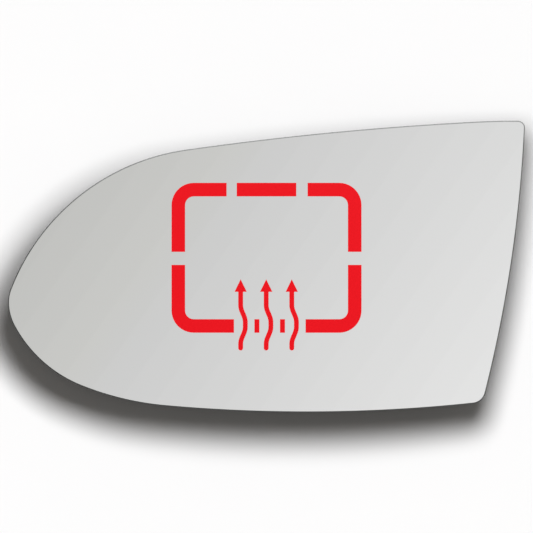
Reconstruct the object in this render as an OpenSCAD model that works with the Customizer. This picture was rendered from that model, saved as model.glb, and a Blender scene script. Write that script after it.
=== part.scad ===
// Heated mirror glass for a car's left door mirror. A convex glass plate is bonded over a
// heater film to a moulded carrier plate, which snaps onto the mirror's adjuster with a clip
// ring. It lies on its back, face up: +Z looks out of the glass and +Y is its upper edge.
// The origin is below the middle of the outline, level with the clip ring's end.

/* [Glass outline] */
// Width of the glass, from the outboard tip to the inboard side
glass_w = 178.8; // [165:0.1:195]
// Height of the upper edge above the outboard tip
top_rise = 62.7; // [59:0.1:68]
// Depth of the lower edge below the outboard tip
bottom_drop = 38; // [36:0.1:42]
// Radius of the edge just above the tip
tip_top_r = 12.2; // [11:0.1:16]
// Direction in which the upper tip's arc ends, in degrees
tip_top_end = 158.8; // [155:0.1:162]
// Direction in which the arc of the outboard shoulder ends, in degrees
shoulder_end = 98; // [96:0.1:100]
// Radius of the long upper edge
crown_r = 1180; // [900:10:1500]
// Direction in which the long upper edge's arc ends, in degrees
crown_end = 93; // [92:0.1:94]
// Radius of the upper edge near the inboard corner
crest_r = 200; // [150:5:260]
// Radius of the upper inboard corner
top_corner_r = 2.4; // [1.5:0.1:5]
// Direction of the inboard side at its upper end, in degrees
side_top_angle = -3; // [-4:0.1:-2]
// Radius of the inboard side
side_r = 480; // [400:5:560]
// Radius of the lower inboard corner
low_corner_r = 5; // [2:0.1:8]
// Radius of the lower edge
bottom_r = 562; // [480:2:640]
// Direction in which the arc between the belly and the lower edge ends, in degrees
belly_end = 265; // [264:0.1:266]
// Radius of the edge below the tip's own arc
cheek_r = 45.6; // [42:0.1:48]
// Direction in which the cheek's arc ends, in degrees
cheek_end = 248.3; // [247:0.1:250]
// Radius of the edge just below the tip
tip_low_r = 17.3; // [14:0.1:19]
// Direction in which the lower tip's arc ends, in degrees
tip_low_end = 208.3; // [206:0.1:211]

/* [Glass] */
// Radius of the convex front of the glass
front_r = 1260; // [1000:10:2000]
// Thickness of the glass
glass_t = 2; // [1.6:0.1:3]
// Width of the ground bevel along the front edge
bevel_w = 0.4; // [0.3:0.05:0.8]
// Depth of the ground bevel
bevel_h = 0.3; // [0.3:0.05:0.6]

/* [Heating symbol] */
// Thickness of the red film that the symbol is cut from
symbol_t = 0.1; // [0.1:0.05:0.3]
// Width of the symbol's frame
frame_w = 65.4; // [60:0.1:72]
// Height of the symbol's frame
frame_h = 51.6; // [48:0.1:54]
// Width of the frame's bars
frame_bar = 4.65; // [3.5:0.05:5.5]
// Outer radius of the frame's corners
frame_corner_r = 7.65; // [6:0.05:9]
// Width of the bar in the middle of the frame's top
top_bar_w = 20.5; // [17:0.1:22]
// Gap on the outboard side of that bar
top_left_gap = 3.5; // [3:0.1:5]
// Gap on its inboard side
top_right_gap = 3.9; // [3:0.1:5]
// Gap in the middle of the frame's sides
side_gap = 4.5; // [3:0.1:6]
// Distance between the three arrows
arrow_pitch = 8.8; // [8:0.1:9.6]
// Height of an arrow from end to tip
arrow_h = 24.5; // [23:0.1:26]
// Height of an arrow's head
head_h = 4.3; // [3:0.1:5]
// Width of an arrow's head
head_w = 4.2; // [3:0.1:5]
// Width of an arrow's stem
stem_w = 1.65; // [1.2:0.05:1.9]
// How far the stem's wave swings to the side
wave_swing = 1.6; // [1:0.05:2]
// Distance of the symbol's centre from the middle of the glass, on the inboard side
symbol_x = 0; // [-4:0.1:4]
// Height of the symbol's centre above the outboard tip
symbol_above_tip = 15.3; // [13:0.1:17]

/* [Heater] */
// Thickness of the heater film
film_t = 0.4; // [0.3:0.05:0.6]
// How far the film stays inside the glass edge
film_inset = 2; // [1.5:0.1:2.5]
// Thickness of the printed heater track
track_t = 0.15; // [0.1:0.05:0.2]
// Width of the heater track
track_w = 2.6; // [2:0.1:3]
// Distance between two rows of the track
track_pitch = 5.9; // [5.7:0.1:6.6]
// How far the ends of the rows stay inside the glass edge
track_inset = 7; // [6.5:0.1:7.5]
// Gap between the feed line along the tip and the ends of the rows
feed_gap = 1; // [0.6:0.1:1.4]

/* [Terminals] */
// Distance of the terminals from the clip ring's axis
terminal_x = 46; // [44:0.5:52]
// Width of a terminal's blade
blade_w = 6.3; // [4.8:0.1:6.3]
// Thickness of the terminals' sheet
blade_t = 0.8; // [0.5:0.1:0.8]
// Length of a blade from the back of its foot
blade_l = 9; // [7:0.1:9.4]
// Length of the bevels at a blade's tip
blade_bevel = 1; // [0.6:0.1:1.5]
// Radius of the latching hole in a blade
latch_r = 0.9; // [0.6:0.1:1]
// Distance of the latching hole from the blade's tip
latch_up = 3.2; // [2.6:0.1:3.6]
// Clear gap between the two blades
blade_gap = 13.4; // [12:0.1:15]
// Length of a terminal's foot from its bend inwards
foot_l = 5; // [4.5:0.1:5.5]
// Width of a terminal's foot
foot_w = 8; // [7:0.1:9]
// Radius of the rivets' shanks
rivet_r = 0.9; // [0.7:0.05:1.1]
// Radius of the rivets' heads
rivet_head_r = 1.8; // [1.5:0.05:2]
// Thickness of the rivets' heads
rivet_head_t = 0.4; // [0.3:0.05:0.6]

/* [Adhesive sheet] */
// Thickness of the adhesive foam sheet
foam_t = 0.8; // [0.5:0.1:1.2]
// How far the sheet stays inside the glass edge
foam_inset = 3; // [2.6:0.1:4]

/* [Carrier plate] */
// Thickness of the carrier plate
plate_t = 1.8; // [1.6:0.1:2.4]
// How far the plate stays inside the glass edge
plate_inset = 1.5; // [1:0.1:2]
// Height of the plate's back above the clip ring's end
ring_h = 11; // [10:0.1:14]
// Thickness of the skirt along the plate's edge
skirt_t = 1.4; // [1.2:0.1:1.8]
// Depth of the skirt below the plate's back
skirt_h = 3.5; // [3:0.1:4.5]
// Thickness of the stiffening ribs
rib_t = 1.3; // [1:0.1:1.6]
// Depth of the ribs below the plate's back
rib_h = 2.8; // [2:0.1:3]
// Number of radial ribs
rib_count = 12; // [8:2:14]
// Inner radius of the round rib
hoop_r = 41; // [38:0.5:42]
// Clearance between the terminals and the plate's window
window_gap = 1.2; // [0.8:0.1:1.6]

/* [Clip ring] */
// Distance of the clip ring's axis from the middle of the glass, on the inboard side
ring_x = 6.5; // [4:0.1:10]
// Height of the clip ring's axis above the outboard tip
ring_above_tip = 10.1; // [8:0.1:12]
// Inner radius of the clip ring
ring_r = 25.5; // [24:0.1:27]
// Thickness of the clip ring
ring_t = 2; // [1.6:0.1:2.4]
// Number of spring fingers
finger_count = 8; // [6:1:8]
// Angle between the two slots of a finger, in degrees
finger_angle = 22; // [21:0.5:24]
// Width of the slots
slot_w = 1.5; // [1:0.1:1.8]
// Depth of the slots
slot_h = 8; // [7:0.1:8.5]
// Angle that a finger's barb covers, in degrees
barb_angle = 17; // [15:0.5:17]
// How far a barb stands in from the ring
barb_h = 1.6; // [1.2:0.1:1.8]
// Distance of the barb's flat crest from the ring's end
barb_z = 2.2; // [2:0.1:2.6]
// Length of the barb's flat crest
barb_land = 1; // [0.8:0.1:1.4]
// Width of the keys that stop the glass from turning on its adjuster
key_w = 3; // [2:0.1:4]
// How far the keys stand in from the ring
key_h = 1.2; // [0.8:0.1:1.4]
// Width of the bevels at the ring's end
ring_bevel = 0.4; // [0.2:0.1:0.6]
// Outer radius of the locating boss in the middle
boss_r = 9; // [7:0.5:12]
// Depth of the boss and its spokes below the plate's back
boss_h = 3; // [2:0.1:4]

/* [Hidden] */

glass_colour = [0.80, 0.81, 0.81];
symbol_colour = [0.93, 0.11, 0.14];
track_colour = [0.72, 0.73, 0.75];
film_colour = [0.86, 0.60, 0.24];
tin_colour = [0.80, 0.78, 0.72];
foam_colour = [0.88, 0.88, 0.85];
plastic_colour = [0.10, 0.10, 0.11];

// Radii of the layers' faces, all about one centre below the origin
glass_back_r = front_r - glass_t;
film_back_r = glass_back_r - film_t;
plate_front_r = film_back_r - foam_t;
plate_back_r = plate_front_r - plate_t;
dome_z = ring_h - plate_back_r;
stack_top = ring_h + plate_t + foam_t + film_t + glass_t + symbol_t;
dome_fn = 256;
hole_fn = 48;
bend_fn = 64;
boss_fn = 96;
ring_fn = 128;
past = 1;
weld = 0.6;

// Height of the clip ring's axis in the frame. Everything is drawn about that axis.
ring_y = ring_above_tip - (top_rise - bottom_drop) / 2;

// Outline of the glass: a chain of arcs that run smoothly into each other from the tip
chord_error = 0.02;
least_r = 0.4;
// Turns of the arcs whose ends follow from where they meet, for their steps only
side_turn = 11;
top_corner_turn = 93;
crest_turn = 4;
bottom_turn = 11;
low_corner_turn = 70;
tip = [-glass_w / 2 - ring_x, -ring_above_tip];
shoulder_r = (top_rise - tip_top_r * sin(tip_top_end) - crown_r * (sin(crown_end) - sin(shoulder_end))
    - crest_r * (1 - sin(crown_end))) / (sin(shoulder_end) - sin(tip_top_end));
belly_r = (bottom_drop + tip_low_r * sin(tip_low_end) + cheek_r * (sin(cheek_end) - sin(tip_low_end))
    - bottom_r * (1 + sin(belly_end))) / (sin(cheek_end) - sin(belly_end));

function toward(angle) = [cos(angle), sin(angle)];
function angle_of(from, to) = atan2(to.y - from.y, to.x - from.x);
function next_centre(centre, r, next_r, angle) = centre + (r - next_r) * toward(angle);
// Point where two circles cross, on the chosen side of the line between their centres
function crossing(a, a_r, b, b_r, side) =
    let (d = b - a, along = (a_r * a_r - b_r * b_r + d * d) / (2 * norm(d)), u = d / norm(d))
    a + along * u + side * sqrt(a_r * a_r - along * along) * [-u.y, u.x];

tip_top_c = tip + [tip_top_r, 0];
shoulder_c = next_centre(tip_top_c, tip_top_r, shoulder_r, tip_top_end);
crown_c = next_centre(shoulder_c, shoulder_r, crown_r, shoulder_end);
crest_c = next_centre(crown_c, crown_r, crest_r, crown_end);
corner_x = tip.x + glass_w - top_corner_r;
corner_y = crest_c.y + sqrt(pow(crest_r - top_corner_r, 2) - pow(corner_x - crest_c.x, 2));
side_c = next_centre([corner_x, corner_y], top_corner_r, side_r, side_top_angle);
tip_low_c = tip + [tip_low_r, 0];
cheek_c = next_centre(tip_low_c, tip_low_r, cheek_r, tip_low_end);
belly_c = next_centre(cheek_c, cheek_r, belly_r, cheek_end);
bottom_c = next_centre(belly_c, belly_r, bottom_r, belly_end);

// Steps that keep an arc's chords within chord_error of it
function steps(r, sweep) = max(2, ceil(abs(sweep) / (2 * acos(1 - chord_error / r))));
function arc(centre, r, from, to, count) =
    [for (i = [0 : count - 1]) centre + r * toward(from + (to - from) * i / count)];
function shrunk(r, inset) = max(r - inset, least_r);

// The glass outline moved inwards by inset. Its number of points is the same for every inset.
function outline(inset) =
    let (top_r = shrunk(top_corner_r, inset),
        low_r = shrunk(low_corner_r, inset),
        top_c = crossing(crest_c, crest_r - inset - top_r, side_c, side_r - inset - top_r, -1),
        low_c = crossing(bottom_c, bottom_r - inset - low_r, side_c, side_r - inset - low_r, 1),
        side_from = angle_of(side_c, low_c),
        side_to = angle_of(side_c, top_c),
        crest_from = angle_of(crest_c, top_c),
        bottom_to = angle_of(bottom_c, low_c) + 360)
    concat(
        arc(side_c, side_r - inset, side_from, side_to, steps(side_r, side_turn)),
        arc(top_c, top_r, side_to, crest_from, steps(top_corner_r, top_corner_turn)),
        arc(crest_c, crest_r - inset, crest_from, crown_end, steps(crest_r, crest_turn)),
        arc(crown_c, crown_r - inset, crown_end, shoulder_end, steps(crown_r, shoulder_end - crown_end)),
        arc(shoulder_c, shoulder_r - inset, shoulder_end, tip_top_end,
            steps(shoulder_r, tip_top_end - shoulder_end)),
        arc(tip_top_c, shrunk(tip_top_r, inset), tip_top_end, 180, steps(tip_top_r, 180 - tip_top_end)),
        arc(tip_low_c, shrunk(tip_low_r, inset), 180, tip_low_end, steps(tip_low_r, tip_low_end - 180)),
        arc(cheek_c, cheek_r - inset, tip_low_end, cheek_end, steps(cheek_r, cheek_end - tip_low_end)),
        arc(belly_c, belly_r - inset, cheek_end, belly_end, steps(belly_r, belly_end - cheek_end)),
        arc(bottom_c, bottom_r - inset, belly_end, bottom_to, steps(bottom_r, bottom_turn)),
        arc(low_c, low_r, bottom_to, side_from + 360, steps(low_corner_r, low_corner_turn)));

// Height of a layer's face above the ring's end, over a point of the outline
function dome_height(r, p) = dome_z + sqrt(r * r - p.x * p.x - p.y * p.y);

// A rectangle with round corners, as points about its centre
function round_box(w, h, r) =
    [for (q = [0 : 3], i = [0 : steps(r, 90)])
        let (sx = (q == 0 || q == 3) ? 1 : -1, sy = q < 2 ? 1 : -1)
        [sx * (w / 2 - r), sy * (h / 2 - r)] + r * toward(90 * q + 90 * i / steps(r, 90))];

module dome(r) {
    translate([0, 0, dome_z]) rotate([90, 0, 0]) sphere(r, $fn = dome_fn);
}

module seated() {
    translate([ring_x, ring_y, 0]) children();
}

// A flat shape turned into a layer between two domes
module layer(back_r, face_r) {
    difference() {
        intersection() {
            linear_extrude(stack_top + past) children();
            dome(face_r);
        }
        dome(back_r);
    }
}

// Glass

// The blank follows the front dome at its edge, so that the bevel is even all round
module ground_blank() {
    edge = outline(0);
    above = outline(2 * bevel_w);
    n = len(edge);
    low = [for (p = edge) [p.x, p.y, dome_height(glass_back_r, p) - past]];
    brink = [for (p = edge) [p.x, p.y, dome_height(front_r, p) - bevel_h]];
    high = [for (p = above) [p.x, p.y, dome_height(front_r, p) + bevel_h]];
    points = concat(low, brink, high, [[0, 0, low[0].z - past], [0, 0, 2 * stack_top]]);
    walls = [for (ring = [0, 1], i = [0 : n - 1])
        let (a = ring * n + i, b = ring * n + (i + 1) % n)
        each [[a, b + n, b], [a, a + n, b + n]]];
    floor_fan = [for (i = [0 : n - 1]) [3 * n, i, (i + 1) % n]];
    top_fan = [for (i = [0 : n - 1]) [3 * n + 1, 2 * n + (i + 1) % n, 2 * n + i]];
    polyhedron(points, concat(walls, floor_fan, top_fan), convexity = 4);
}

module mirror_glass() {
    color(glass_colour) seated() difference() {
        intersection() {
            ground_blank();
            dome(front_r);
        }
        dome(glass_back_r);
    }
}

// Heating symbol

side_gap_y = -0.2;
bottom_left_end = -11.2;
bottom_right_end = 13.45;
dash_w = 1.7;
dash_shift = 5.6;
first_arrow_x = -8.9;
arrow_tip_y = -7.4;
wave_top = 15.55;
wave_bottom = 2.3;
wave_flank = 5.75;
wave_steps = 24;
round_steps = 8;
slope_step = 0.05;

module frame_band() {
    difference() {
        polygon(round_box(frame_w, frame_h, frame_corner_r));
        polygon(round_box(frame_w - 2 * frame_bar, frame_h - 2 * frame_bar, frame_corner_r - frame_bar));
    }
}

module frame_gaps() {
    translate([-top_bar_w / 2 - top_left_gap, 0]) square([top_left_gap, frame_h]);
    translate([top_bar_w / 2, 0]) square([top_right_gap, frame_h]);
    translate([-frame_w / 2 - past, side_gap_y - side_gap / 2]) square([frame_w + 2 * past, side_gap]);
    translate([bottom_left_end, -frame_h / 2 - past])
        square([bottom_right_end - bottom_left_end, frame_bar + 2 * past]);
}

// The stem's side step at a height above the arrow's lower end
function sway(y) =
    let (into = min(y - wave_bottom, wave_top - y) / wave_flank)
    wave_swing * (1 - cos(180 * max(0, min(1, into)))) / 2;
function lean(y) = atan2(sway(y + slope_step) - sway(y - slope_step), 2 * slope_step);
function stem_side(side, levels) =
    [for (y = levels) [sway(y), y] + side * stem_w / 2 * [cos(lean(y)), -sin(lean(y))]];

module arrow() {
    stem_top = arrow_h - head_h;
    end_r = stem_w / 2;
    wave_levels = [for (i = [0 : wave_steps]) wave_bottom + (wave_top - wave_bottom) * i / wave_steps];
    end_round = [for (i = [1 : round_steps - 1]) [0, end_r] + end_r * toward(180 + 180 * i / round_steps)];
    up = concat([end_r], wave_levels, [stem_top]);
    down = [for (i = [len(up) - 1 : -1 : 0]) up[i]];
    polygon(concat(stem_side(-1, down), end_round, stem_side(1, up),
        [[head_w / 2, stem_top], [0, arrow_h], [-head_w / 2, stem_top]]));
}

module heating_symbol() {
    color(symbol_colour) seated() layer(front_r, front_r + symbol_t)
            translate([symbol_x - ring_x, symbol_above_tip - ring_above_tip]) {
        difference() {
            frame_band();
            frame_gaps();
        }
        for (i = [0 : 2])
            translate([first_arrow_x + i * arrow_pitch, arrow_tip_y - arrow_h]) arrow();
        for (i = [0 : 1])
            translate([first_arrow_x + i * arrow_pitch + dash_shift - dash_w / 2, -frame_h / 2])
                square([dash_w, frame_bar]);
    }
}

// Heater

film_clear = track_inset - track_w - feed_gap;
low_room = ring_above_tip + bottom_drop - track_inset - track_w / 2;
rows = 2 * floor((low_room / track_pitch - 0.5) / 2) + 1;
pad_margin = 0.5;
pad_w = foot_w - 2 * pad_margin;
pad_h = foot_l - 2 * pad_margin;
foot_mid = (blade_gap - foot_l) / 2 + blade_t;
rivet_shift = 0.3;
rivet_y = foot_mid - blade_t / 2 - rivet_shift;
far = 2 * glass_w;

function row_y(k) = track_pitch * (k + 0.5);

module edge_band(from, to) {
    difference() {
        polygon(outline(from));
        polygon(outline(to));
    }
}

// A straight run of the track across the glass, with its middle at height y
module row(y, from, to) {
    translate([from, y - track_w / 2]) square([to - from, track_w]);
}

// The rows above or below the terminals, joined at alternate ends from the pad outwards
module track_half(side) {
    intersection() {
        polygon(outline(track_inset));
        union() {
            row(side * row_y(0), -far, terminal_x);
            for (k = [1 : rows - 1]) row(side * row_y(k), -far, far);
        }
    }
    intersection() {
        edge_band(track_inset, track_inset + track_w);
        for (k = [0 : rows - 2])
            translate([k % 2 == 0 ? -far : 0, side * (row_y(k) + track_pitch / 2) - track_pitch / 2])
                square([far, track_pitch]);
    }
    intersection() {
        polygon(outline(film_clear));
        row(side * row_y(rows - 1), -far, 0);
    }
    translate([terminal_x - pad_w / 2, side * foot_mid - pad_h / 2]) square([pad_w, pad_h]);
}

module track_plan() {
    track_half(1);
    track_half(-1);
    intersection() {
        edge_band(film_clear, film_clear + track_w);
        translate([-far, -row_y(rows - 1)]) square([far, 2 * row_y(rows - 1)]);
    }
}

module rivet_holes() {
    for (s = [-1, 1]) translate([terminal_x, s * rivet_y]) circle(rivet_r, $fn = hole_fn);
}

module heater_track() {
    color(track_colour) seated() layer(glass_back_r - track_t, glass_back_r) difference() {
        track_plan();
        rivet_holes();
    }
}

module heater_film() {
    color(film_colour) seated() difference() {
        layer(film_back_r, glass_back_r) difference() {
            polygon(outline(film_inset));
            rivet_holes();
        }
        layer(glass_back_r - track_t, glass_back_r + past) track_plan();
    }
}

// Terminals

bend_r = 1.2;
foot_back_r = film_back_r - blade_t;
blade_out = blade_gap / 2 + blade_t;
terminal_floor = ring_h + plate_t - blade_t - blade_l;

// The flat of a blade, standing on its bevelled tip
module blade_plan() {
    half = blade_w / 2;
    difference() {
        polygon([[-half, stack_top], [-half, blade_bevel], [-half + blade_bevel / 2, 0],
            [half - blade_bevel / 2, 0], [half, blade_bevel], [half, stack_top]]);
        translate([0, latch_up]) circle(latch_r, $fn = hole_fn);
    }
}

module terminal() {
    difference() {
        union() {
            layer(foot_back_r, film_back_r) difference() {
                translate([terminal_x - foot_w / 2, blade_out - foot_l]) square([foot_w, foot_l]);
                translate([terminal_x, rivet_y]) circle(rivet_r, $fn = hole_fn);
            }
            intersection() {
                translate([terminal_x, blade_out, terminal_floor]) rotate([90, 0, 0])
                    linear_extrude(blade_t) blade_plan();
                dome(film_back_r - blade_t / 2);
            }
        }
        bend_relief();
    }
}

// Rounds the outside of the bend between foot and blade
module bend_relief() {
    crest = dome_height(film_back_r, [terminal_x, blade_out]);
    translate([terminal_x - foot_w, blade_out - bend_r, crest - bend_r]) difference() {
        cube([2 * foot_w, bend_r + past, bend_r + past]);
        rotate([0, 90, 0]) cylinder(2 * foot_w, r = bend_r, $fn = bend_fn);
    }
}

module upper_terminal() {
    color(tin_colour) seated() terminal();
}

module lower_terminal() {
    color(tin_colour) seated() mirror([0, 1, 0]) terminal();
}

module terminal_rivets() {
    color(tin_colour) seated() for (s = [-1, 1]) {
        layer(foot_back_r - rivet_head_t, glass_back_r)
            translate([terminal_x, s * rivet_y]) circle(rivet_r, $fn = hole_fn);
        layer(foot_back_r - rivet_head_t, foot_back_r)
            translate([terminal_x, s * rivet_y]) circle(rivet_head_r, $fn = hole_fn);
    }
}

// Adhesive sheet

window_w = foot_w + 2 * window_gap;
window_h = 2 * (blade_out + window_gap);
window_corner_r = 1;
foam_window_margin = 0.5;

module window_plan(margin) {
    translate([terminal_x, 0])
        polygon(round_box(window_w + 2 * margin, window_h + 2 * margin, window_corner_r + margin));
}

module adhesive_sheet() {
    color(foam_colour) seated() layer(plate_front_r, film_back_r) difference() {
        polygon(outline(foam_inset));
        window_plan(foam_window_margin);
    }
}

// Carrier plate

ring_outer_r = ring_r + ring_t;
rib_back_r = plate_back_r - rib_h;
weld_r = plate_back_r + weld;
gusset_reach = 7;
gusset_drop = 4.2;
spoke_count = 4;
boss_t = 1.6;

function finger_at(i) = 360 * (i + 0.5) / finger_count;

module plate_shell() {
    difference() {
        layer(plate_back_r - skirt_h, plate_front_r) polygon(outline(plate_inset));
        intersection() {
            linear_extrude(stack_top) polygon(outline(plate_inset + skirt_t));
            dome(plate_back_r);
        }
    }
}

module rib_plan() {
    intersection() {
        polygon(outline(plate_inset + skirt_t / 2));
        union() {
            for (i = [0 : rib_count - 1]) rotate(360 * (i + 0.5) / rib_count)
                translate([ring_r + ring_t / 2, -rib_t / 2]) square([far, rib_t]);
            difference() {
                circle(hoop_r + rib_t, $fn = ring_fn);
                circle(hoop_r, $fn = ring_fn);
            }
            window_plan(rib_t);
        }
    }
}

module gussets() {
    root = ring_h - rib_h + weld;
    for (i = [0 : rib_count - 1]) rotate([90, 0, 360 * (i + 0.5) / rib_count])
        translate([0, 0, -rib_t / 2]) linear_extrude(rib_t) polygon([
            [ring_outer_r - ring_t / 2, root],
            [ring_outer_r + gusset_reach, root],
            [ring_outer_r, root - weld - gusset_drop],
            [ring_outer_r - ring_t / 2, root - weld - gusset_drop]]);
}

module ring_wall() {
    difference() {
        rotate_extrude($fn = ring_fn) polygon([
            [ring_r, ring_h + weld], [ring_r, ring_bevel], [ring_r + ring_bevel, 0],
            [ring_outer_r - ring_bevel, 0], [ring_outer_r, ring_bevel], [ring_outer_r, ring_h + weld]]);
        for (i = [0 : finger_count - 1], s = [-1, 1])
            rotate(finger_at(i) + s * finger_angle / 2)
                translate([ring_r - past, -slot_w / 2, -past])
                    cube([ring_t + 2 * past, slot_w, slot_h + past]);
    }
}

// Two keys inside the ring, on the stretches between fingers
module keys() {
    for (angle = [0, 180]) rotate(angle)
        translate([ring_r - key_h, -key_w / 2, barb_z])
            cube([key_h + ring_t / 2, key_w, ring_h + weld - barb_z]);
}

module barbs() {
    crest_r = ring_r - barb_h;
    root_r = ring_r + ring_t / 2;
    for (i = [0 : finger_count - 1]) rotate(finger_at(i) - barb_angle / 2)
        rotate_extrude(angle = barb_angle, $fn = ring_fn) polygon([
            [root_r, barb_z - barb_h], [ring_r, barb_z - barb_h], [crest_r, barb_z],
            [crest_r, barb_z + barb_land], [ring_r, barb_z + barb_land + barb_h],
            [root_r, barb_z + barb_land + barb_h]]);
}

module boss_plan() {
    difference() {
        union() {
            circle(boss_r, $fn = boss_fn);
            for (i = [0 : spoke_count - 1]) rotate(360 * i / spoke_count)
                translate([0, -rib_t / 2]) square([ring_r + ring_t / 2, rib_t]);
        }
        circle(boss_r - boss_t, $fn = boss_fn);
    }
}

// Holes above the barbs, where the mould's cores reach them through the plate
module barb_windows() {
    for (i = [0 : finger_count - 1]) rotate(finger_at(i))
        translate([ring_r - barb_h - weld, -ring_r * sin(barb_angle / 2), ring_h - boss_h])
            cube([barb_h + weld, 2 * ring_r * sin(barb_angle / 2), stack_top]);
}

module carrier_plate() {
    color(plastic_colour) seated() difference() {
        union() {
            plate_shell();
            layer(rib_back_r, weld_r) rib_plan();
            gussets();
            ring_wall();
            keys();
            barbs();
            layer(plate_back_r - boss_h, weld_r) boss_plan();
        }
        barb_windows();
        linear_extrude(stack_top) window_plan(0);
    }
}

mirror_glass();
heating_symbol();
heater_track();
heater_film();
upper_terminal();
lower_terminal();
terminal_rivets();
adhesive_sheet();
carrier_plate();
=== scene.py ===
"""Looks of the heated door mirror glass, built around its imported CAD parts.

The silvered glass is one smooth mesh that replaces its node. The carrier plate and the terminals are
copies of their nodes with broken edges. The other nodes keep their shapes and get materials. Two soft
lamps close above the floor and a weak sky light the scene, and the mirror shows a sloped grey glow.

The outline and the depths of the glass are in millimetres and degrees, as in the part's source. Other
lengths are in metres, apart from the camera's lens and sensor.
"""

import math
from collections import namedtuple

import bmesh
import bpy
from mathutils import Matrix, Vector


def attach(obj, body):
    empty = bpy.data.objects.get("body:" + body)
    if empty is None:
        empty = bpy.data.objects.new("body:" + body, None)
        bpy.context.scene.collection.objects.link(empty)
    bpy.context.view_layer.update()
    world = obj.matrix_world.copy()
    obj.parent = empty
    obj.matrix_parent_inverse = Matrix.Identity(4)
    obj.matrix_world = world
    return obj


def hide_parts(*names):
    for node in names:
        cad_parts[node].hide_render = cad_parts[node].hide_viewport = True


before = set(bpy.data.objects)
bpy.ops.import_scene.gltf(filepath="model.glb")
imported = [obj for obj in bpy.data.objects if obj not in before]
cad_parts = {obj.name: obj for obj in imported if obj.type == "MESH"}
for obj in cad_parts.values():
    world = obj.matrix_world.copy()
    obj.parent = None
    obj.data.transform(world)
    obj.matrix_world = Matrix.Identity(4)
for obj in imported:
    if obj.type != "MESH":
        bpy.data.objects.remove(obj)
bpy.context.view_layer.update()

MM = 0.001

# Outline of the glass, about the clip ring's axis
GLASS_W = 178.8
TOP_RISE = 62.7
BOTTOM_DROP = 38
TIP_ANGLE = 180
TIP_TOP_R, TIP_TOP_END = 12.2, 158.8
SHOULDER_END = 98
CROWN_R, CROWN_END = 1180, 93
CREST_R = 200
TOP_CORNER_R = 2.4
SIDE_TOP_ANGLE, SIDE_R = -3, 480
LOW_CORNER_R = 5
BOTTOM_R, BELLY_END = 562, 265
CHEEK_R, CHEEK_END = 45.6, 248.3
TIP_LOW_R, TIP_LOW_END = 17.3, 208.3
LEAST_R = 0.2
RING_X = 6.5
RING_ABOVE_TIP = 10.1
RING_Y = RING_ABOVE_TIP - (TOP_RISE - BOTTOM_DROP) / 2

# How far a chord of the outline may cut in, and how long it may be
CHORD_ERROR = 0.004
MOST_STEP = 2.5
# Sweeps that set the steps of the arcs that end at a corner, so that they are the same at each inset
SIDE_SWEEP, TOP_CORNER_SWEEP, CREST_SWEEP = 11, 93, 4
BOTTOM_SWEEP, LOW_CORNER_SWEEP = 11, 70

# Depths of the glass
FRONT_R = 1260
GLASS_T = 2
BACK_R = FRONT_R - GLASS_T
BEVEL_W, BEVEL_H = 0.4, 0.3
DOME_Z = -1244


def toward(angle):
    """Unit vector at an angle in degrees."""
    a = math.radians(angle)
    return Vector((math.cos(a), math.sin(a)))


def sin(angle):
    """Sine of an angle in degrees."""
    return math.sin(math.radians(angle))


def angle_of(a, b):
    """Angle of the line from a to b, in degrees."""
    return math.degrees(math.atan2(b.y - a.y, b.x - a.x))


def next_centre(centre, r, next_r, angle):
    """Centre of an arc that runs on from another one at this angle."""
    return centre + (r - next_r) * toward(angle)


def crossing(a, a_r, b, b_r, side):
    """Where two circles cross, on one side of the line between their centres."""
    d = b - a
    along = (a_r * a_r - b_r * b_r + d.length_squared) / (2 * d.length)
    u = d.normalized()
    return a + along * u + side * math.sqrt(a_r * a_r - along * along) * Vector((-u.y, u.x))


# The two radii that bring the outline to its full height and depth
SHOULDER_R = (
    TOP_RISE - TIP_TOP_R * sin(TIP_TOP_END) - CROWN_R * (sin(CROWN_END) - sin(SHOULDER_END))
    - CREST_R * (1 - sin(CROWN_END))
) / (sin(SHOULDER_END) - sin(TIP_TOP_END))
BELLY_R = (
    BOTTOM_DROP + TIP_LOW_R * sin(TIP_LOW_END) + CHEEK_R * (sin(CHEEK_END) - sin(TIP_LOW_END))
    - BOTTOM_R * (1 + sin(BELLY_END))
) / (sin(CHEEK_END) - sin(BELLY_END))

TIP = Vector((-GLASS_W / 2 - RING_X, -RING_ABOVE_TIP))
TIP_TOP_C = TIP + Vector((TIP_TOP_R, 0))
SHOULDER_C = next_centre(TIP_TOP_C, TIP_TOP_R, SHOULDER_R, TIP_TOP_END)
CROWN_C = next_centre(SHOULDER_C, SHOULDER_R, CROWN_R, SHOULDER_END)
CREST_C = next_centre(CROWN_C, CROWN_R, CREST_R, CROWN_END)
CORNER_X = TIP.x + GLASS_W - TOP_CORNER_R
CORNER_RISE = math.sqrt((CREST_R - TOP_CORNER_R) ** 2 - (CORNER_X - CREST_C.x) ** 2)
CORNER = Vector((CORNER_X, CREST_C.y + CORNER_RISE))
SIDE_C = next_centre(CORNER, TOP_CORNER_R, SIDE_R, SIDE_TOP_ANGLE)
TIP_LOW_C = TIP + Vector((TIP_LOW_R, 0))
CHEEK_C = next_centre(TIP_LOW_C, TIP_LOW_R, CHEEK_R, TIP_LOW_END)
BELLY_C = next_centre(CHEEK_C, CHEEK_R, BELLY_R, CHEEK_END)
BOTTOM_C = next_centre(BELLY_C, BELLY_R, BOTTOM_R, BELLY_END)


def steps(r, sweep):
    """Steps for an arc: fine enough for its curve, and none longer than MOST_STEP."""
    by_curve = abs(sweep) / math.degrees(2 * math.acos(1 - CHORD_ERROR / r))
    by_length = math.radians(abs(sweep)) * r / MOST_STEP
    return max(2, math.ceil(max(by_curve, by_length)))


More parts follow.
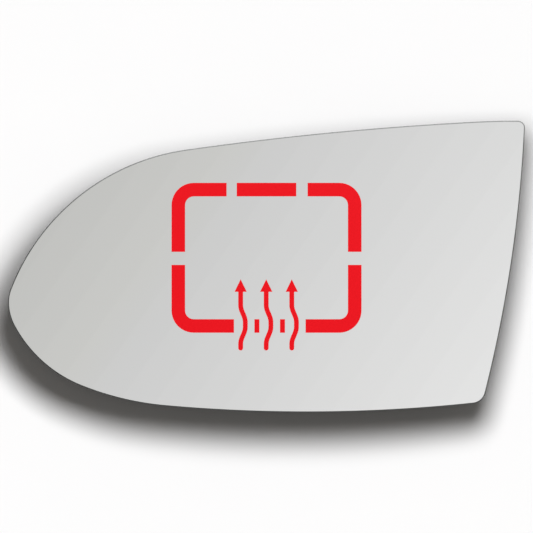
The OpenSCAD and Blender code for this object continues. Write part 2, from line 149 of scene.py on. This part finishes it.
def arcs(inset):
    """The outline's arcs moved inwards: centre, radius, from, to, and the steps of the whole arc."""
    top_r, low_r = max(TOP_CORNER_R - inset, LEAST_R), max(LOW_CORNER_R - inset, LEAST_R)
    top_c = crossing(CREST_C, CREST_R - inset - top_r, SIDE_C, SIDE_R - inset - top_r, -1)
    low_c = crossing(BOTTOM_C, BOTTOM_R - inset - low_r, SIDE_C, SIDE_R - inset - low_r, 1)
    side_from, side_to = angle_of(SIDE_C, low_c), angle_of(SIDE_C, top_c)
    crest_from, bottom_to = angle_of(CREST_C, top_c), angle_of(BOTTOM_C, low_c) + 360

    def run(centre, r, start, end, sweep=None):
        return centre, r - inset, start, end, steps(r, sweep or end - start)

    return [
        run(SIDE_C, SIDE_R, side_from, side_to, SIDE_SWEEP),
        (top_c, top_r, side_to, crest_from, steps(TOP_CORNER_R, TOP_CORNER_SWEEP)),
        run(CREST_C, CREST_R, crest_from, CROWN_END, CREST_SWEEP),
        run(CROWN_C, CROWN_R, CROWN_END, SHOULDER_END),
        run(SHOULDER_C, SHOULDER_R, SHOULDER_END, TIP_TOP_END),
        run(TIP_TOP_C, TIP_TOP_R, TIP_TOP_END, TIP_ANGLE),
        run(TIP_LOW_C, TIP_LOW_R, TIP_ANGLE, TIP_LOW_END),
        run(CHEEK_C, CHEEK_R, TIP_LOW_END, CHEEK_END),
        run(BELLY_C, BELLY_R, CHEEK_END, BELLY_END),
        run(BOTTOM_C, BOTTOM_R, BELLY_END, bottom_to, BOTTOM_SWEEP),
        (low_c, low_r, bottom_to, side_from + 360, steps(LOW_CORNER_R, LOW_CORNER_SWEEP)),
    ]


def outline(inset):
    """Points of the outline moved inwards, as many at each inset."""
    return [centre + r * toward(start + (end - start) * i / count)
            for centre, r, start, end, count in arcs(inset) for i in range(count)]


def on_dome(p, r, drop=0.0):
    """A point of the outline's plan lifted onto a dome, or below it by drop, in metres."""
    z = DOME_Z + math.sqrt(r * r - p.x * p.x - p.y * p.y) - drop
    return Vector((p.x + RING_X, p.y + RING_Y, z)) * MM


def put(name, data):
    """An object in the scene."""
    piece = bpy.data.objects.new(name, data)
    bpy.context.collection.objects.link(piece)
    return piece


# Materials

# The span that noise seldom leaves, which is spread over the range that a look asks for
NOISE_LOW, NOISE_HIGH = 0.3, 0.7


class Nodes:
    """Short calls for building a node tree. Sockets that share a name on one node go by number."""

    def __init__(self, tree):
        self.tree = tree

    def plug(self, socket, value):
        """Links a socket to another one, or sets it. A colour gets its alpha."""
        if isinstance(value, bpy.types.NodeSocket):
            self.tree.links.new(value, socket)
        else:
            socket.default_value = (*value, 1) if socket.type == "RGBA" else value

    def add(self, kind, values=None, **settings):
        """A node with its settings, whose inputs are set or linked by values."""
        node = self.tree.nodes.new(kind)
        for key, value in settings.items():
            setattr(node, key, value)
        for key, value in (values or {}).items():
            self.plug(node.inputs[key], value)
        return node

    def ranged(self, value, low, high, to_low, to_high, bands=None):
        """Maps a range onto another one, in even bands where their number is given."""
        values = {"Value": value, "From Min": low, "From Max": high, "To Min": to_low, "To Max": to_high}
        if bands is None:
            return self.add("ShaderNodeMapRange", values).outputs[0]
        values["Steps"] = bands
        return self.add("ShaderNodeMapRange", values, interpolation_type="STEPPED").outputs[0]

    def blend(self, factor, a, b):
        return self.add("ShaderNodeMix", {0: factor, 6: a, 7: b}, data_type="RGBA").outputs[2]

    def dot(self, vector, other):
        values = {0: vector, 1: other}
        return self.add("ShaderNodeVectorMath", values, operation="DOT_PRODUCT").outputs["Value"]

    def maths(self, operation, a, b):
        return self.add("ShaderNodeMath", {0: a, 1: b}, operation=operation).outputs[0]


class Surface(Nodes):
    """The nodes of one material."""

    def __init__(self, name):
        self.material = bpy.data.materials.new(name)
        self.material.use_nodes = True
        super().__init__(self.material.node_tree)
        self.where = self.add("ShaderNodeTexCoord").outputs["Object"]

    def stretched(self, scale):
        return self.add("ShaderNodeMapping", {"Vector": self.where, "Scale": scale}).outputs[0]

    def noise(self, scale, detail=3.0, vector=None):
        values = {"Vector": vector or self.where, "Scale": scale, "Detail": detail}
        return self.add("ShaderNodeTexNoise", values).outputs["Fac"]

    def cells(self, scale):
        values = {"Vector": self.where, "Scale": scale}
        return self.add("ShaderNodeTexVoronoi", values).outputs["Distance"]

    def spread(self, noise, low, high):
        return self.ranged(noise, NOISE_LOW, NOISE_HIGH, low, high)

    def mottled(self, noise, a, b):
        return self.blend(self.spread(noise, 0, 1), a, b)

    def bump(self, height, distance, strength, below=None):
        values = {"Height": height, "Distance": distance, "Strength": strength}
        if below is not None:
            values["Normal"] = below
        return self.add("ShaderNodeBump", values).outputs[0]

    def finish(self, **sockets):
        shader = self.tree.nodes["Principled BSDF"]
        for key, value in sockets.items():
            self.plug(shader.inputs[key.replace("_", " ")], value)
        return self.material


def mirror_material():
    n = Surface("mirror_face")
    return n.finish(
        Base_Color=n.mottled(n.noise(18, 4), (0.885, 0.888, 0.882), (0.893, 0.894, 0.890)),
        Metallic=1.0,
        Roughness=n.ranged(n.noise(60, 5), 0.35, 0.75, 0.012, 0.03))


# The direction in the plan toward which the bevel gets painted light, with painted shade on the other
# side, and how much it faces that way where this begins and ends
PAINTED_LIGHT_SIDE = (0.35, 0.94, 0)
PAINTED_LIGHT_FROM, PAINTED_LIGHT_TO = 0.06, 0.58
SHADED_SIDE_TONE, LIT_SIDE_TONE = (0.098, 0.103, 0.101), (0.345, 0.355, 0.350)
# How far up the wall and the bevel face, between which the wall's painted shade turns into the bevel's
# tone
WALL_UP, BEVEL_UP = 0.25, 0.75
# The wall's tone, darkened as painted shade, and a painted glint for random flecks of the grain
SHADED_WALL_TONE, GLINT_TONE = (0.045, 0.050, 0.048), (0.30, 0.32, 0.31)


def edge_material():
    n = Surface("ground_edge")
    normal = n.add("ShaderNodeNewGeometry").outputs["Normal"]
    up = n.add("ShaderNodeSeparateXYZ", {"Vector": normal}).outputs["Z"]
    # Painted light and shade by the normal: the bevel lighter on one side of the plan and darker on the
    # other, the sideways wall darker still
    painted_light = n.ranged(n.dot(normal, PAINTED_LIGHT_SIDE), PAINTED_LIGHT_FROM, PAINTED_LIGHT_TO, 0, 1)
    lit_and_shaded_bevel = n.blend(painted_light, SHADED_SIDE_TONE, LIT_SIDE_TONE)
    tone = n.blend(n.ranged(up, WALL_UP, BEVEL_UP, 0, 1), SHADED_WALL_TONE, lit_and_shaded_bevel)
    grain = n.noise(9000, 2)
    return n.finish(
        # Random flecks of the grain get a painted glint
        Base_Color=n.blend(n.ranged(grain, 0.35, 0.7, 0, 0.1), tone, GLINT_TONE),
        Roughness=n.spread(grain, 0.4, 0.6), IOR=1.52, Specular_IOR_Level=0.2,
        Normal=n.bump(grain, 0.01 * MM, 0.6))


def paint_material():
    n = Surface("back_paint")
    return n.finish(
        Base_Color=n.blend(n.noise(500, 4), (0.045, 0.047, 0.05), (0.07, 0.072, 0.075)),
        Roughness=n.spread(n.noise(900), 0.45, 0.65),
        Normal=n.bump(n.noise(2500), 0.01 * MM, 0.5))


def film_material():
    n = Surface("symbol_film")
    mottle = n.noise(1400)
    return n.finish(
        Base_Color=n.mottled(mottle, (0.800, 0.0075, 0.0135), (0.820, 0.0085, 0.0150)),
        Roughness=n.spread(mottle, 0.55, 0.62), IOR=1.45, Specular_IOR_Level=0.12,
        Normal=n.bump(n.noise(700), 0.01 * MM, 0.25))


def plastic_material():
    n = Surface("carrier_plastic")
    fine = n.bump(n.noise(5200, 2), 0.01 * MM, 0.5)
    return n.finish(
        Base_Color=n.mottled(n.noise(45), (0.021, 0.021, 0.023), (0.030, 0.030, 0.032)),
        Roughness=n.spread(n.noise(300, 4), 0.44, 0.58), IOR=1.5,
        Normal=n.bump(n.cells(2600), 0.03 * MM, 0.55, fine))


def tin_material(name, dull, bright):
    n = Surface(name)
    drawn = n.noise(420, vector=n.stretched((6, 6, 1)))
    return n.finish(
        Base_Color=n.mottled(drawn, dull, bright),
        Metallic=1.0,
        Roughness=n.spread(drawn, 0.33, 0.39),
        Normal=n.bump(n.noise(3000), 0.004 * MM, 0.3))


def foam_material():
    n = Surface("adhesive_foam")
    pores = n.cells(4200)
    return n.finish(
        Base_Color=n.blend(n.ranged(pores, 0.1, 0.6, 0, 1), (0.60, 0.60, 0.56), (0.78, 0.78, 0.74)),
        Roughness=0.92,
        Normal=n.bump(pores, 0.06 * MM, 0.8))


def amber_material():
    n = Surface("heater_film")
    ripple = n.noise(240)
    return n.finish(
        Base_Color=n.mottled(ripple, (0.50, 0.22, 0.03), (0.60, 0.29, 0.05)),
        Roughness=n.spread(ripple, 0.18, 0.3), IOR=1.6,
        Normal=n.bump(ripple, 0.02 * MM, 0.3))


# Mirror glass

FACE, EDGE, PAINT = 0, 1, 2
# Equal bands that each dome has between its middle and its rim
DOME_BANDS = 14
# The rounded corner of the back: how far in from the wall it starts, and how far up it ends
BACK_IN, BACK_UP = 0.06, 0.08
FACE_IN = BEVEL_W + 0.03
# The ground profile from the wall up to the face, with its corners rounded: how far in and how far below
# the front dome each ring lies, and the material of the band above it
PROFILE = (
    (0.0, BEVEL_H + 0.12, EDGE),
    (0.03, BEVEL_H + 0.03, EDGE),
    (0.09, BEVEL_H - 0.07, EDGE),
    (BEVEL_W - 0.07, 0.045, EDGE),
    (BEVEL_W - 0.02, 0.012, FACE),
    (FACE_IN, 0.0, FACE),
)
# A facet of the front face points up at least this much
LEAST_FACE_UP = 0.95


def add_face(bm, corners, zone):
    face = bm.faces.new(corners)
    face.material_index = zone
    face.smooth = True


def loft(name, rings, poles, zones, materials):
    """Joins rings of equal length and closes both ends. Each band takes its zone's material."""
    bm = bmesh.new()
    rows = [[bm.verts.new(p) for p in ring] for ring in rings]
    following = [(i + 1) % len(rings[0]) for i in range(len(rings[0]))]
    for lower, upper, zone in zip(rows, rows[1:], zones):
        for i, j in enumerate(following):
            add_face(bm, (lower[i], lower[j], upper[j], upper[i]), zone)
    low_end = bm.verts.new(poles[0])
    for i, j in enumerate(following):
        add_face(bm, (rows[0][j], rows[0][i], low_end), zones[0])
    high_end = bm.verts.new(poles[1])
    for i, j in enumerate(following):
        add_face(bm, (rows[-1][i], rows[-1][j], high_end), zones[-1])
    mesh = bpy.data.meshes.new(name)
    bm.to_mesh(mesh)
    bm.free()
    for material in materials:
        mesh.materials.append(material)
    return put(name, mesh)


def make_glass():
    shares = [i / DOME_BANDS for i in range(1, DOME_BANDS)]
    back_rim, face_rim = outline(BACK_IN), outline(FACE_IN)
    layers = [([on_dome(p * share, BACK_R) for p in back_rim], PAINT) for share in shares]
    layers.append(([on_dome(p, BACK_R) for p in back_rim], EDGE))
    layers.append(([on_dome(p, BACK_R, -BACK_UP) for p in outline(0)], EDGE))
    for inset, drop, zone in PROFILE:
        layers.append(([on_dome(p, FRONT_R, drop) for p in outline(inset)], zone))
    for share in reversed(shares):
        layers.append(([on_dome(p * share, FRONT_R) for p in face_rim], FACE))
    rings, zones = zip(*layers)
    middle = Vector((0, 0))
    glass = loft("silvered_glass", rings, (on_dome(middle, BACK_R), on_dome(middle, FRONT_R)), zones,
                 (mirror_material(), edge_material(), paint_material()))

    # The face gets the dome's own normals. A normal of zero leaves a corner's as it is.
    centre = Vector((RING_X, RING_Y, DOME_Z)) * MM
    mesh = glass.data
    normals = [Vector((0, 0, 0))] * len(mesh.loops)
    for polygon in mesh.polygons:
        if polygon.material_index == FACE and polygon.normal.z > LEAST_FACE_UP:
            for k in polygon.loop_indices:
                normals[k] = (mesh.vertices[mesh.loops[k].vertex_index].co - centre).normalized()
    mesh.normals_split_custom_set(normals)
    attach(glass, "root")
    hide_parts("mirror_glass")


make_glass()

# Pieces that keep their shapes


def give(node, material):
    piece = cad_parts[node]
    piece.data.materials.clear()
    piece.data.materials.append(material)


give("heating_symbol", film_material())
give("heater_track", tin_material("track_foil", (0.55, 0.56, 0.58), (0.70, 0.71, 0.73)))
give("heater_film", amber_material())
give("terminal_rivets", tin_material("tinned_rivet", (0.64, 0.62, 0.56), (0.72, 0.70, 0.64)))
give("adhesive_sheet", foam_material())

# Moulded and stamped parts with broken edges

# Points nearer than WELD become one, and faces within FLAT degrees of each other become one
WELD = 0.002 * MM
FLAT = 0.4
# Edges sharper than BREAK_FROM degrees are rounded, in so many steps
BREAK_FROM = 32
BREAK_STEPS = 2
MOULDED_BREAK, STAMPED_BREAK = 0.14 * MM, 0.08 * MM


def break_edges(node_name, name, material, width):
    """A copy of a node whose sharp edges are rounded, in the node's place."""
    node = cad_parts[node_name]
    mesh = node.data.copy()
    mesh.name = name
    bm = bmesh.new()
    bm.from_mesh(mesh)
    bmesh.ops.remove_doubles(bm, verts=bm.verts, dist=WELD)
    bmesh.ops.dissolve_limit(bm, angle_limit=math.radians(FLAT), verts=bm.verts, edges=bm.edges)
    bm.to_mesh(mesh)
    bm.free()
    mesh.materials.clear()
    mesh.materials.append(material)
    piece = put(name, mesh)
    piece.matrix_world = node.matrix_world.copy()
    rounding = piece.modifiers.new("broken_edges", "BEVEL")
    rounding.width = width
    rounding.segments = BREAK_STEPS
    rounding.limit_method = "ANGLE"
    rounding.angle_limit = math.radians(BREAK_FROM)
    rounding.use_clamp_overlap = True
    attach(piece, "root")
    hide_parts(node_name)


tin = tin_material("tinned_blade", (0.70, 0.68, 0.62), (0.78, 0.76, 0.70))
break_edges("carrier_plate", "carrier_moulding", plastic_material(), MOULDED_BREAK)
break_edges("upper_terminal", "upper_blade", tin, STAMPED_BREAK)
break_edges("lower_terminal", "lower_blade", tin, STAMPED_BREAK)

# Floor

# How far the floor reaches each way, and its cells along a side
FLOOR_REACH = 6.0
FLOOR_CELLS = 8


def make_floor():
    n = Surface("floor_paper")
    n.finish(
        Base_Color=n.blend(n.noise(30, 2), (0.815, 0.815, 0.820), (0.825, 0.825, 0.830)),
        Roughness=0.9, Specular_IOR_Level=0.0)
    mesh = bpy.data.meshes.new("floor")
    bm = bmesh.new()
    bmesh.ops.create_grid(bm, x_segments=FLOOR_CELLS, y_segments=FLOOR_CELLS, size=FLOOR_REACH)
    bm.to_mesh(mesh)
    bm.free()
    mesh.materials.append(n.material)
    floor = put("floor", mesh)


# Light

# A soft lamp: its height above the floor, its run along X and Y and its radius, each per unit of height,
# and its level on the floor
Lamp = namedtuple("Lamp", "height run_x run_y radius level")
LAMPS = (
    Lamp(height=0.145, run_x=0.292, run_y=0.338, radius=0.40, level=0.537),
    Lamp(height=0.235, run_x=0.184, run_y=0.666, radius=0.445, level=0.526),
)
# The power of a way's length that undoes a flat lamp's falloff over a flat floor
FALLOFF = 4

SKY_LEVEL = 0.138
SKY_TINT = (1.04, 1.0, 0.945)
WHITE_LEVEL = 1.0

# The glow that the mirror shows: the angle toward which it grows, its tone straight above, how that
# changes across it, and the tones where it stops
GLOW_ANGLE = -35
GLOW_MIDDLE, GLOW_SLOPE = 0.724, 0.575
GLOW_LEAST, GLOW_MOST = 0.42, 0.95
# Its faint bands: how many across it, and how much of it is stepped
GLOW_BANDS, BAND_SHARE = 30, 0.6
# Its tint, and where that fades
WARM, PALE = (1, 1, 0.977), (1, 1, 1)
WARM_END, PALE_START = -0.11, -0.07


def make_world():
    """Camera and transmission rays see white, glossy rays the glow, and all others the weak sky."""
    world = bpy.data.worlds.new("studio")
    bpy.context.scene.world = world
    world.use_nodes = True
    n = Nodes(world.node_tree)
    n.tree.nodes.clear()

    def background(strength, colour=PALE):
        return n.add("ShaderNodeBackground", {"Strength": strength, "Color": colour}).outputs[0]

    def choose(factor, no, yes):
        return n.add("ShaderNodeMixShader", {0: factor, 1: no, 2: yes}).outputs[0]

    heading = toward(GLOW_ANGLE)
    way = n.add("ShaderNodeTexCoord").outputs["Generated"]
    along = n.dot(way, (heading.x, heading.y, 0))
    start, end = (GLOW_LEAST - GLOW_MIDDLE) / GLOW_SLOPE, (GLOW_MOST - GLOW_MIDDLE) / GLOW_SLOPE
    smooth = n.ranged(along, start, end, GLOW_LEAST, GLOW_MOST)
    stepped = n.ranged(along, start, end, GLOW_LEAST, GLOW_MOST, GLOW_BANDS)
    glow = n.add("ShaderNodeMix", {0: BAND_SHARE, 2: smooth, 3: stepped}).outputs[0]
    tint = n.blend(n.ranged(along, WARM_END, PALE_START, 0, 1), WARM, PALE)

    ray = n.add("ShaderNodeLightPath").outputs
    lit = choose(ray["Is Glossy Ray"], background(SKY_LEVEL, SKY_TINT), background(glow, tint))
    lit = choose(ray["Is Transmission Ray"], lit, background(WHITE_LEVEL))
    lit = choose(ray["Is Camera Ray"], lit, background(WHITE_LEVEL))
    n.add("ShaderNodeOutputWorld", {"Surface": lit})


def even_out(data, height):
    """Makes a near lamp's light even over the floor, by the length of each ray's way to it."""
    data.use_nodes = True
    n = Nodes(data.node_tree)
    way = n.add("ShaderNodeLightPath").outputs["Ray Length"]
    strength = n.maths("POWER", n.maths("DIVIDE", way, height), FALLOFF)
    n.plug(n.tree.nodes["Emission"].inputs["Strength"], strength)


def make_lamps():
    for i, place in enumerate(LAMPS):
        data = bpy.data.lights.new(f"lamp_{i}", "AREA")
        data.shape = "DISK"
        data.size = 2 * place.radius * place.height
        data.energy = place.level * (math.pi * place.height) ** 2
        even_out(data, place.height)
        lamp = put(f"lamp_{i}", data)
        lamp.location = Vector((place.run_x, place.run_y, 1)) * place.height
        lamp.visible_camera = lamp.visible_glossy = False


# Camera

# It looks straight down. Lens and sensor are in millimetres. VIEW_WIDTH is what the picture spans at the
# height of the glass's rim
LENS = 150
SENSOR = 36
VIEW_WIDTH = 0.1842
RIM_HEIGHT = 0.0127
PHOTO_SHIFT = Vector((0.0, -0.00005))
CLIP_START, CLIP_END = 0.05, 20


def make_camera():
    data = bpy.data.cameras.new("camera")
    data.lens, data.sensor_width = LENS, SENSOR
    data.clip_start, data.clip_end = CLIP_START, CLIP_END
    camera = put("camera", data)
    camera.location = (PHOTO_SHIFT.x, PHOTO_SHIFT.y, RIM_HEIGHT + VIEW_WIDTH * LENS / SENSOR)
    bpy.context.scene.camera = camera


make_floor()
make_world()
make_lamps()
make_camera()
bpy.context.scene.view_settings.view_transform = "Standard"
